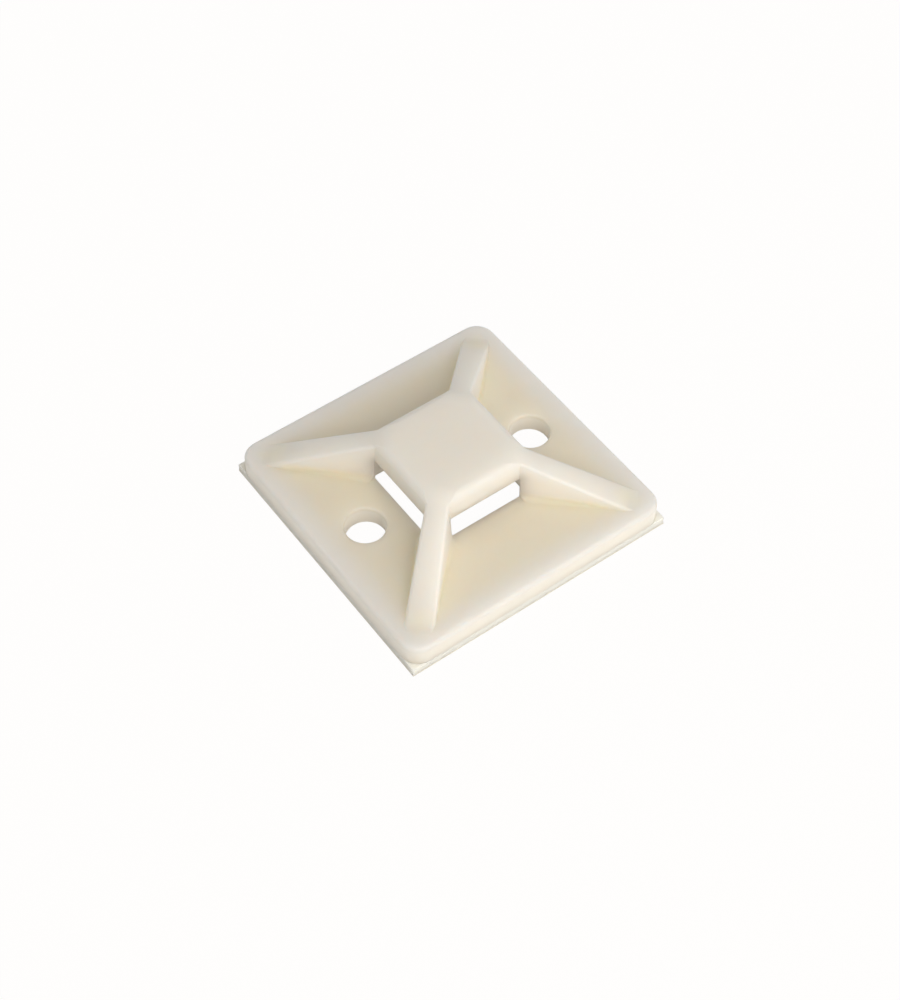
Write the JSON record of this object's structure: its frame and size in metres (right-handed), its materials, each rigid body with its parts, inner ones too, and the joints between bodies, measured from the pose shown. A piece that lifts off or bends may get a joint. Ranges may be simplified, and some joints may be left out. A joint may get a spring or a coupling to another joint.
{
  "type": "cable tie mount",
  "caption": "Square stick-down mount that holds a cable tie under a raised saddle carried by diagonal ribs, with a screw hole on each side and an adhesive foam pad beneath.",
  "frame": {"origin": "centre of the release liner's underside, the face that goes on the wall", "axes": "+Z away from the wall, out of the saddle; +X along the line of the two screw holes; +Y square to it, along the side without holes"},
  "size_m": [0.028, 0.028, 0.0078],
  "materials": {
    "natural_nylon": "satin, as moulded, slightly translucent",
    "white_foam": "matt closed-cell foam",
    "release_liner": "smooth coated paper"
  },
  "bodies": {
    "root": {"mount_body": "natural_nylon", "foam_pad": "white_foam", "release_liner": "release_liner"}
  },
  "joints": []
}
